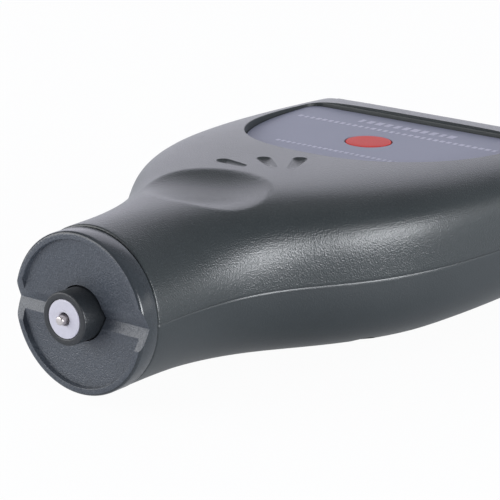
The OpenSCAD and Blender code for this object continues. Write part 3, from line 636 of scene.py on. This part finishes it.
def mathNode(tree, operation, first, second, clamp=False):
    node = tree.nodes.new("ShaderNodeMath")
    node.operation, node.use_clamp = operation, clamp
    for socket, value in zip(node.inputs, (first, second)):
        if isinstance(value, (int, float)):
            socket.default_value = value
        else:
            tree.links.new(value, socket)
    return node.outputs[0]


def sparkGrain():
    group, start, end = shaderGroup("sparkGrain", [("Grain Size", "NodeSocketFloat", 2600.0),
                                                   ("Mottle Size", "NodeSocketFloat", 90.0)],
                                    [("Height", "NodeSocketFloat"), ("Mottle", "NodeSocketFloat"),
                                     ("Tone", "NodeSocketFloat")])
    tree = group
    coords = tree.nodes.new("ShaderNodeTexCoord")
    cells = tree.nodes.new("ShaderNodeTexVoronoi")
    cells.feature = "SMOOTH_F1"
    cells.inputs["Smoothness"].default_value = 0.6
    fine = tree.nodes.new("ShaderNodeTexNoise")
    fine.inputs["Detail"].default_value = 1
    mottle = tree.nodes.new("ShaderNodeTexNoise")
    mottle.inputs["Detail"].default_value = 2
    for node in (cells, fine, mottle):
        tree.links.new(coords.outputs["Object"], node.inputs["Vector"])
    tree.links.new(start.outputs["Grain Size"], cells.inputs["Scale"])
    tree.links.new(mathNode(tree, "MULTIPLY", start.outputs["Grain Size"], 0.8), fine.inputs["Scale"])
    tree.links.new(start.outputs["Mottle Size"], mottle.inputs["Scale"])
    pits = mathNode(tree, "MULTIPLY", cells.outputs["Distance"], 0.9)
    height = mathNode(tree, "ADD", pits, mathNode(tree, "MULTIPLY", fine.outputs["Fac"], 0.7))
    # the grain's pits are painted darker in the base colour as painted shade; the mottle is the plastic's own
    # random tone
    pitShade = mathNode(tree, "MULTIPLY", mathNode(tree, "SUBTRACT", height, 0.35), 0.9)
    tone = mathNode(tree, "ADD", pitShade, mathNode(tree, "MULTIPLY", mottle.outputs["Fac"], 0.4), True)
    tree.links.new(height, end.inputs["Height"])
    tree.links.new(mottle.outputs["Fac"], end.inputs["Mottle"])
    tree.links.new(tone, end.inputs["Tone"])
    return group


grainGroup = sparkGrain()


def mixColour(tree, factor, first, second):
    node = tree.nodes.new("ShaderNodeMix")
    node.data_type = "RGBA"
    tree.links.new(factor, node.inputs[0])
    node.inputs[6].default_value = (*first, 1)
    node.inputs[7].default_value = (*second, 1)
    return node.outputs[2]


def grained(name, s):
    material = bpy.data.materials.new(name)
    material.use_nodes = True
    tree = material.node_tree
    shader = tree.nodes["Principled BSDF"]
    grain = tree.nodes.new("ShaderNodeGroup")
    grain.node_tree = grainGroup
    grain.inputs["Grain Size"].default_value = s.get("grain", 2600)
    grain.inputs["Mottle Size"].default_value = s.get("mottle", 90)
    # the base colour follows the grain's tone: its darker pits are painted shade, its mottle the plastic's own
    # tone
    colour = mixColour(tree, grain.outputs["Tone"], s["dark"], s["light"])
    tree.links.new(colour, shader.inputs["Base Color"])
    vary = s.get("vary", 0.08)
    spread = mathNode(tree, "MULTIPLY", grain.outputs["Mottle"], vary)
    tree.links.new(mathNode(tree, "ADD", spread, s["rough"] - vary / 2), shader.inputs["Roughness"])
    bump = tree.nodes.new("ShaderNodeBump")
    bump.inputs["Strength"].default_value = s.get("bump", 0.3)
    bump.inputs["Distance"].default_value = s.get("depth", 0.04) * mm
    tree.links.new(grain.outputs["Height"], bump.inputs["Height"])
    tree.links.new(bump.outputs["Normal"], shader.inputs["Normal"])
    shader.inputs["Metallic"].default_value = s.get("metal", 0)
    shader.inputs["IOR"].default_value = s.get("ior", 1.5)
    shader.inputs["Specular IOR Level"].default_value = s.get("gloss", 0.5)
    shader.inputs["Coat Weight"].default_value = s.get("coat", 0)
    shader.inputs["Transmission Weight"].default_value = s.get("clear", 0)
    return material


finishes = {
    "cover": {"dark": (0.012, 0.016, 0.017), "light": (0.031, 0.038, 0.039), "rough": 0.29, "grain": 4300,
              "bump": 1.0, "depth": 0.04, "vary": 0.05},
    # the rear cover's finish: its finer grain and higher roughness are its own, its darker base colour is
    # painted shade of the downward faces
    "coverLow": {"dark": (0.014, 0.019, 0.021), "light": (0.025, 0.031, 0.033), "rough": 0.34, "grain": 4200,
                 "bump": 0.8, "depth": 0.02},
    # recess walls: a smoother, rougher finish of their own, with a darker base colour that is painted shade of
    # the recess
    "recess": {"dark": (0.012, 0.016, 0.017), "light": (0.022, 0.027, 0.028), "rough": 0.45, "grain": 4300,
               "bump": 0.3, "depth": 0.01},
    # the cap's wide dark-to-light spread strengthens the painted pit shade of the grain
    "cap": {"dark": (0.020, 0.026, 0.035), "light": (0.084, 0.095, 0.111), "rough": 0.30, "grain": 4200,
            "bump": 1.0, "depth": 0.05},
    # band: the cap's outside, smoother than its face, with a darker base colour that is painted shade
    "band": {"dark": (0.013, 0.018, 0.021), "light": (0.028, 0.034, 0.039), "rough": 0.22, "grain": 4200,
             "bump": 0.6, "depth": 0.012},
    "print": {"dark": (0.36, 0.36, 0.46), "light": (0.44, 0.44, 0.54), "rough": 0.5, "bump": 0.05},
    "sleeve": {"dark": (0.008, 0.010, 0.012), "light": (0.018, 0.021, 0.024), "rough": 0.36, "grain": 4200,
               "bump": 1.0, "depth": 0.03},
    "insert": {"dark": (0.51, 0.50, 0.56), "light": (0.57, 0.56, 0.62), "rough": 0.35, "grain": 4000,
               "bump": 0.08, "depth": 0.02, "mottle": 300},
    "steel": {"dark": (0.50, 0.46, 0.44), "light": (0.66, 0.62, 0.60), "rough": 0.28, "grain": 6000,
              "bump": 0.1, "depth": 0.01, "metal": 1},
    "label": {"dark": (0.215, 0.228, 0.303), "light": (0.235, 0.248, 0.323), "rough": 0.55, "grain": 3500,
              "bump": 0.1, "depth": 0.02},
    "redKey": {"dark": (0.52, 0.024, 0.016), "light": (0.62, 0.034, 0.023), "rough": 0.5, "grain": 3000,
               "bump": 0.1, "depth": 0.02, "gloss": 0.2},
    "key": {"dark": (0.24, 0.245, 0.26), "light": (0.29, 0.295, 0.31), "rough": 0.55, "grain": 3000,
            "bump": 0.2, "depth": 0.03},
    "window": {"dark": (0.9, 0.92, 0.93), "light": (0.96, 0.97, 0.98), "rough": 0.05, "vary": 0.02,
               "grain": 900, "bump": 0.01, "depth": 0.01, "clear": 1, "ior": 1.45},
    "lcd": {"dark": (0.26, 0.29, 0.22), "light": (0.30, 0.33, 0.26), "rough": 0.25, "bump": 0.02,
            "depth": 0.01},
    "diffuser": {"dark": (0.75, 0.75, 0.72), "light": (0.8, 0.8, 0.78), "rough": 0.5},
    "board": {"dark": (0.012, 0.10, 0.035), "light": (0.02, 0.15, 0.05), "rough": 0.35, "bump": 0.1,
              "mottle": 400},
    "ribbon": {"dark": (0.45, 0.17, 0.02), "light": (0.55, 0.22, 0.03), "rough": 0.4, "bump": 0.05},
    "switch": {"dark": (0.02, 0.02, 0.022), "light": (0.03, 0.03, 0.032), "rough": 0.45, "bump": 0.1},
    "can": {"dark": (0.45, 0.42, 0.33), "light": (0.55, 0.52, 0.42), "rough": 0.3, "metal": 1, "bump": 0.05},
    "cell": {"dark": (0.30, 0.22, 0.08), "light": (0.38, 0.29, 0.11), "rough": 0.3, "metal": 0.6,
             "bump": 0.05},
    "copper": {"dark": (0.40, 0.13, 0.05), "light": (0.55, 0.20, 0.08), "rough": 0.35, "metal": 1,
               "grain": 5000},
    "guide": {"dark": (0.60, 0.57, 0.48), "light": (0.68, 0.65, 0.56), "rough": 0.4, "bump": 0.05},
}
looks = {name: grained(name, s) for name, s in finishes.items()}
print("materials made:", len(looks))


# node trees for what repeats: named inputs, ending in realized instances with a material
def nodeTree(name, inputs):
    tree = bpy.data.node_groups.new(name, "GeometryNodeTree")
    tree.interface.new_socket("Geometry", in_out="INPUT", socket_type="NodeSocketGeometry")
    for label, kind, value in inputs + [("Finish", "NodeSocketMaterial", None)]:
        socket = tree.interface.new_socket(label, in_out="INPUT", socket_type=kind)
        if value is not None:
            socket.default_value = value
    tree.interface.new_socket("Geometry", in_out="OUTPUT", socket_type="NodeSocketGeometry")
    return tree, tree.nodes.new("NodeGroupInput")


def closeTree(tree, start, instances):
    plain, finish = tree.nodes.new("GeometryNodeRealizeInstances"), tree.nodes.new("GeometryNodeSetMaterial")
    tree.links.new(instances, plain.inputs["Geometry"])
    tree.links.new(plain.outputs[0], finish.inputs["Geometry"])
    tree.links.new(start.outputs["Finish"], finish.inputs["Material"])
    tree.links.new(finish.outputs[0], tree.nodes.new("NodeGroupOutput").inputs["Geometry"])


def grow(name, tree, points, values):
    piece = newPiece(name, points, [])
    growth = piece.modifiers.new("growth", "NODES")
    growth.node_group = tree
    names = {item.name: item.identifier for item in tree.interface.items_tree if item.in_out == "INPUT"}
    for label, value in values.items():
        growth[names[label]] = value
    return bake(piece)


def printTree():
    tree, start = nodeTree("printRow", [
        ("Count", "NodeSocketInt", 10), ("Pitch", "NodeSocketVector", (0, 0.001, 0)),
        ("First", "NodeSocketVector", (0, 0, 0)), ("Dash", "NodeSocketVector", (0.001, 0.001, 0.00003)),
        ("Shortest", "NodeSocketVector", (1, 0.5, 1)), ("Seed", "NodeSocketInt", 3)])
    row, dash = tree.nodes.new("GeometryNodeMeshLine"), tree.nodes.new("GeometryNodeMeshCube")
    spread, place = tree.nodes.new("FunctionNodeRandomValue"), tree.nodes.new("GeometryNodeInstanceOnPoints")
    spread.data_type = "FLOAT_VECTOR"
    spread.inputs[1].default_value = (1, 1, 1)
    for source, socket in (("Count", row.inputs["Count"]), ("First", row.inputs["Start Location"]),
                           ("Pitch", row.inputs["Offset"]), ("Dash", dash.inputs["Size"]),
                           ("Shortest", spread.inputs[0]), ("Seed", spread.inputs["Seed"])):
        tree.links.new(start.outputs[source], socket)
    tree.links.new(row.outputs["Mesh"], place.inputs["Points"])
    tree.links.new(dash.outputs["Mesh"], place.inputs["Instance"])
    tree.links.new(spread.outputs[0], place.inputs["Scale"])
    closeTree(tree, start, place.outputs[0])
    return tree


# plain dashes stand in the rows of print: (x, half span, count, height, share of the pitch, seed)
printForm = {"rows": ((93.2, 10, 11, 2.0, 0.72, 4), (89.2, 21.5, 32, 1.2, 0.7, 7),
                      (70.8, 13.4, 24, 1.0, 0.68, 9)),
             "thick": 0.03, "shortest": 0.55}


def labelPrint(s):
    tree, rows = printTree(), []
    for x, half, count, height, share, seed in s["rows"]:
        pitch = 2 * half / (count - 1)
        first = at(x, -half, b["labelTop"] + s["thick"] / 2)
        rows.append(grow("row", tree, [], {
            "Count": count, "Pitch": (0, pitch * mm, 0), "First": first,
            "Dash": (height * mm, pitch * share * mm, s["thick"] * mm), "Shortest": (1, s["shortest"], 1),
            "Seed": seed, "Finish": looks["print"]}))
    return joined(rows, "labelPrint")


# pan-head screws with a cross recess, each at its own turn
screwForm = {"shank": 1.25, "head": 2.3, "headHigh": 1.8, "up": 8, "slot": (0.62, 2.5, 1.1), "seed": 5}


def screwShape(s):
    home = Matrix.Translation((noseX, 0, -restZ))
    r, top = s["headHigh"] / 2, bayForm["headSeat"] + s["up"]
    profile = [(0, -s["headHigh"])] + arcPoints(s["head"] - r, -r, r, -90, 0, 8) + [
        (s["head"], 0), (s["shank"], 0), (s["shank"], top - s["shank"] / 2), (s["shank"] / 2, top), (0, top)]
    shape = keyPiece("screwShape", profile, home)
    wide, long, deep = s["slot"]
    for turn in (0, 90):
        x, y = (wide, long) if turn else (long, wide)
        outline = [(-x / 2, -y / 2), (x / 2, -y / 2), (x / 2, y / 2), (-x / 2, y / 2)]
        cutAway(shape, [prism(outline, -s["headHigh"] - 1, deep - s["headHigh"], home)])
    soften(shape, 30)
    return shape


def screwTree():
    tree, start = nodeTree("screwSet", [
        ("Shape", "NodeSocketObject", None), ("Turn", "NodeSocketVector", (0, 0, 1.6)),
        ("Seed", "NodeSocketInt", 1)])
    shape, place = tree.nodes.new("GeometryNodeObjectInfo"), tree.nodes.new("GeometryNodeInstanceOnPoints")
    spread = tree.nodes.new("FunctionNodeRandomValue")
    spread.data_type = "FLOAT_VECTOR"
    spread.inputs[0].default_value = (0, 0, 0)
    for source, socket in (("Shape", shape.inputs["Object"]), ("Turn", spread.inputs[1]),
                           ("Seed", spread.inputs["Seed"]), ("Geometry", place.inputs["Points"])):
        tree.links.new(start.outputs[source], socket)
    tree.links.new(shape.outputs["Geometry"], place.inputs["Instance"])
    tree.links.new(spread.outputs[0], place.inputs["Rotation"])
    closeTree(tree, start, place.outputs[0])
    return tree


def housingScrews(s):
    shape = screwShape(s)
    places = [at(x, y, -bayForm["headSeat"]) for x, y in bayForm["screws"]]
    screws = grow("caseScrews", screwTree(), places, {
        "Shape": shape, "Turn": (0, 0, math.pi / 2), "Seed": s["seed"], "Finish": looks["steel"]})
    bpy.data.objects.remove(shape)
    soften(screws, 30)
    return screws


# coned springs behind the cells, and the straight one that the probe presses together
cellSpringForm = {"wire": 0.35, "wide": 3.2, "narrow": 1.785, "long": 3.4, "turns": 4, "back": 108.4,
                  "sides": (-5.45, 5.45), "up": -7.95}
probeSpringForm = {"wire": 0.275, "wide": 4.15, "narrow": 4.15, "long": 7.4, "turns": 5, "back": 12.325,
                   "sides": (0,), "up": 0, "seat": 12.6, "room": 7.95, "travel": 4.2}


def springTree():
    tree, start = nodeTree("coiledSpring", [
        ("Wire", "NodeSocketFloat", 0.00035), ("Wide", "NodeSocketFloat", 0.003),
        ("Narrow", "NodeSocketFloat", 0.002), ("Long", "NodeSocketFloat", 0.0034),
        ("Turns", "NodeSocketFloat", 4)])
    coil = tree.nodes.new("GeometryNodeCurveSpiral")
    ring = tree.nodes.new("GeometryNodeCurvePrimitiveCircle")
    tube, lay = tree.nodes.new("GeometryNodeCurveToMesh"), tree.nodes.new("GeometryNodeTransform")
    place = tree.nodes.new("GeometryNodeInstanceOnPoints")
    coil.inputs["Resolution"].default_value, ring.inputs["Resolution"].default_value = 36, 14
    lay.inputs["Rotation"].default_value = (0, math.radians(-90), 0)
    tube.inputs["Fill Caps"].default_value = True
    for source, socket in (("Turns", coil.inputs["Rotations"]), ("Wide", coil.inputs["Start Radius"]),
                           ("Narrow", coil.inputs["End Radius"]), ("Long", coil.inputs["Height"]),
                           ("Wire", ring.inputs["Radius"]), ("Geometry", place.inputs["Points"])):
        tree.links.new(start.outputs[source], socket)
    tree.links.new(coil.outputs["Curve"], tube.inputs["Curve"])
    tree.links.new(ring.outputs["Curve"], tube.inputs["Profile Curve"])
    tree.links.new(tube.outputs["Mesh"], lay.inputs["Geometry"])
    tree.links.new(lay.outputs[0], place.inputs["Instance"])
    closeTree(tree, start, place.outputs[0])
    return tree


def coilPiece(name, tree, s):
    places = [at(s["back"], side, s["up"]) for side in s["sides"]]
    springs = grow(name, tree, places, {
        "Wire": s["wire"] * mm, "Wide": s["wide"] * mm, "Narrow": s["narrow"] * mm, "Long": s["long"] * mm,
        "Turns": float(s["turns"]), "Finish": looks["steel"]})
    soften(springs, 40)
    return springs


# battery door: the solid's own form with its edges broken
doorForm = {"edge": 0.18, "flat": 2}


def doorPanel(s):
    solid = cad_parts["battery_door"]
    door = bpy.data.objects.new("doorPanel", solid.data.copy())
    scene.collection.objects.link(door)
    outward(door, 1e-7)
    bm = bmesh.new()
    bm.from_mesh(door.data)
    bmesh.ops.dissolve_limit(bm, angle_limit=math.radians(s["flat"]), verts=bm.verts, edges=bm.edges)
    bm.to_mesh(door.data)
    bm.free()
    breakEdges(door, s["edge"], 3, 60)
    soften(door, 32)
    return door


prints, caseScrews, doorSkin = labelPrint(printForm), housingScrews(screwForm), doorPanel(doorForm)
coilTree = springTree()
springs = coilPiece("cellSprings", coilTree, cellSpringForm)
probeSpring = coilPiece("probeSpring", coilTree, probeSpringForm)
print("print, screws, springs and door built")


def dress(piece, look):
    piece.data.materials.clear()
    piece.data.materials.append(looks[look])


def settle(piece, body, slot, look, *nodes):
    dress(piece, look)
    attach(piece, body)
    if nodes:
        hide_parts(*nodes)


settle(frontShell, "housing", "cover", "cover", "front_cover")
frontShell.data.materials.append(looks["recess"])
for face in frontShell.data.polygons:  # the walls of the label recess are smoother than the skin and carry a darker colour as painted shade
    x, y, z = face.center.x / mm + noseX, face.center.y / mm, face.center.z / mm - restZ
    reach = b["recessReach"]
    inField = b["labelNear"] - reach < x < b["labelFar"] + reach and abs(y) < b["labelWidth"] / 2 + reach
    steep = abs(face.normal.z) < b["recessSteep"]
    face.material_index = int(inField and steep and z > labelFloor - 0.05)
# the rear cover and the battery door take the darker underside finish, whose colour is painted shade
settle(rearShell, "housing", "cover", "coverLow", "rear_cover")
settle(noseBand, "housing", "cap", "cap", "nose_cap")
noseBand.data.materials.append(looks["band"])
for face in noseBand.data.polygons:  # the outside of the band is smoother than the face and carries a darker colour as painted shade
    y, z = face.center.y / mm, face.center.z / mm - restZ
    face.material_index = int(math.hypot(y, z) > capForm["radius"] - capForm["bandDeep"])
settle(probeCollar, "probe", "sleeve", "sleeve", "probe_sleeve")
settle(probeDisc, "probe", "insert", "insert", "probe_insert")
settle(probeTip, "probe", "steel", "steel", "probe_tip")
settle(film, "housing", "label", "label", "label_plate")
settle(powerCap, "power_key", "red_key", "redKey", "power_key")
settle(prints, "housing", "label", "print")
settle(caseScrews, "housing", "steel", "steel", "housing_screws")
settle(springs, "housing", "steel", "steel", "battery_springs")
settle(probeSpring, "housing", "steel", "steel", "probe_spring")
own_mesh(probeSpring)
settle(doorSkin, "battery_door", "cover", "coverLow", "battery_door")
for node, piece in smallCaps.items():
    settle(piece, node, "key", "key", node)

# finishes of the solids that stay
nodeLooks = {
    "spring_seat": "guide", "probe_core": "steel", "probe_bobbin": "guide", "probe_winding": "copper",
    "display_window": "window", "lcd_module": "lcd", "backlight_panel": "diffuser",
    "display_board": "board", "key_switches": "switch", "display_screws": "steel", "board_ribbon": "ribbon",
    "main_board": "board", "power_switch": "switch", "board_chips": "switch", "board_capacitors": "can",
    "buzzer": "switch", "board_screws": "steel", "battery_cells": "cell", "battery_plates": "steel",
}
for node, look in nodeLooks.items():
    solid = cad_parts[node]
    solid.data.materials.clear()
    solid.data.materials.append(looks[look])
print("pieces dressed")

# studio: pale floor, white surroundings, soft boxes
studio = {
    "floor": (0.82, 0.86, 0.93), "floorWhite": 0.96, "floorGloss": 0.35, "floorHalf": 3.0,
    "backdrop": {"toward": (0.77, 0.6, 0.2), "start": 0.775, "end": 0.885, "dim": 0.36, "bright": 1.44,
                 "tint": (0.95, 0.95, 1.06)},
    "boxes": {
        "overhead": {"place": (0.1, 0.1, 0.8), "aim": (0, 0, 0.02), "size": (0.5, 0.5), "power": 0.3},
        "rightSide": {"place": (0.03, -0.9, 0.1), "aim": (0, 0, 0.02), "size": (0.65, 0.2), "power": 7.6,
                      "roll": -9, "tint": (0.95, 0.97, 1.0)},
        "rightUpper": {"place": (0.03, -0.88, 0.27), "aim": (0, 0, 0.02), "size": (0.65, 0.16), "power": 2.0,
                       "roll": -9, "tint": (0.95, 0.97, 1.0)},
        "farRight": {"place": (0.75, -0.72, 0.10), "aim": (0, 0, 0.02), "size": (0.6, 0.2), "power": 0.4},
        "leftFront": {"place": (-0.64, 0.58, 0.30), "aim": (-0.05, 0, 0.02), "size": (1.0, 0.6),
                      "power": 7.2},
    },
}


def addFloor(s):
    size = s["floorHalf"]
    corners = [(-size, -size, 0), (size, -size, 0), (size, size, 0), (-size, size, 0)]
    floor = newPiece("floor", corners, [(0, 1, 2, 3)])
    material = bpy.data.materials.new("floor")
    material.use_nodes = True
    tree = material.node_tree
    shader = tree.nodes["Principled BSDF"]
    shader.inputs["Base Color"].default_value = (*s["floor"], 1)
    shader.inputs["Roughness"].default_value = 0.8
    glow = tree.nodes.new("ShaderNodeEmission")
    mix = tree.nodes.new("ShaderNodeMixShader")
    path = tree.nodes.new("ShaderNodeLightPath")
    clear = mathNode(tree, "MAXIMUM", path.outputs["Is Camera Ray"], path.outputs["Is Transmission Ray"])
    glossy = mathNode(tree, "MULTIPLY", path.outputs["Is Glossy Ray"], s["floorGloss"])
    rays = mathNode(tree, "MAXIMUM", clear, glossy)
    seen = mathNode(tree, "MULTIPLY", rays, s["floorWhite"])
    tree.links.new(seen, mix.inputs[0])
    tree.links.new(shader.outputs[0], mix.inputs[1])
    tree.links.new(glow.outputs[0], mix.inputs[2])
    below, side = tree.nodes.new("ShaderNodeMixShader"), tree.nodes.new("ShaderNodeNewGeometry")
    tree.links.new(side.outputs["Backfacing"], below.inputs[0])  # a view from below looks through
    tree.links.new(mix.outputs[0], below.inputs[1])
    tree.links.new(tree.nodes.new("ShaderNodeBsdfTransparent").outputs[0], below.inputs[2])
    tree.links.new(below.outputs[0], tree.nodes["Material Output"].inputs["Surface"])
    floor.data.materials.append(material)


# white all round for the camera; the light fades from the backdrop to the dim side where the camera stands
def addWorld(s):
    fade = s["backdrop"]
    world = bpy.data.worlds.new("studio")
    world.use_nodes = True
    tree = world.node_tree
    coords = tree.nodes.new("ShaderNodeTexCoord")
    facing = tree.nodes.new("ShaderNodeVectorMath")
    facing.operation = "DOT_PRODUCT"
    facing.inputs[1].default_value = Vector(fade["toward"]).normalized()
    tree.links.new(coords.outputs["Generated"], facing.inputs[0])
    ramp = tree.nodes.new("ShaderNodeMapRange")
    ramp.interpolation_type = "SMOOTHSTEP"
    for label, key in (("From Min", "start"), ("From Max", "end"), ("To Min", "dim"), ("To Max", "bright")):
        ramp.inputs[label].default_value = fade[key]
    tree.links.new(facing.outputs["Value"], ramp.inputs["Value"])
    path = tree.nodes.new("ShaderNodeLightPath")
    seen = mathNode(tree, "MAXIMUM", path.outputs["Is Camera Ray"], path.outputs["Is Transmission Ray"])
    room, white = tree.nodes["Background"], tree.nodes.new("ShaderNodeBackground")
    room.inputs["Color"].default_value = (*fade["tint"], 1)
    white.inputs["Color"].default_value = (1, 1, 1, 1)
    tree.links.new(ramp.outputs["Result"], room.inputs["Strength"])
    mix = tree.nodes.new("ShaderNodeMixShader")
    tree.links.new(seen, mix.inputs[0])
    tree.links.new(room.outputs[0], mix.inputs[1])
    tree.links.new(white.outputs[0], mix.inputs[2])
    tree.links.new(mix.outputs[0], tree.nodes["World Output"].inputs["Surface"])
    scene.world = world


def addBoxes(s):
    for name, box in s["boxes"].items():
        lamp = bpy.data.lights.new(name, "AREA")
        lamp.shape = "RECTANGLE"
        lamp.size, lamp.size_y = box["size"]
        lamp.energy, lamp.color = box["power"], box.get("tint", (1, 1, 1))
        rig = bpy.data.objects.new(name, lamp)
        rig.location = box["place"]
        aim = Vector(box["aim"]) - Vector(box["place"])
        roll = Matrix.Rotation(math.radians(box.get("roll", 0)), 4, "Z")
        rig.rotation_euler = (aim.to_track_quat("-Z", "Y").to_matrix().to_4x4() @ roll).to_euler()
        scene.collection.objects.link(rig)


addFloor(studio)
addWorld(studio)
addBoxes(studio)
print("studio set")
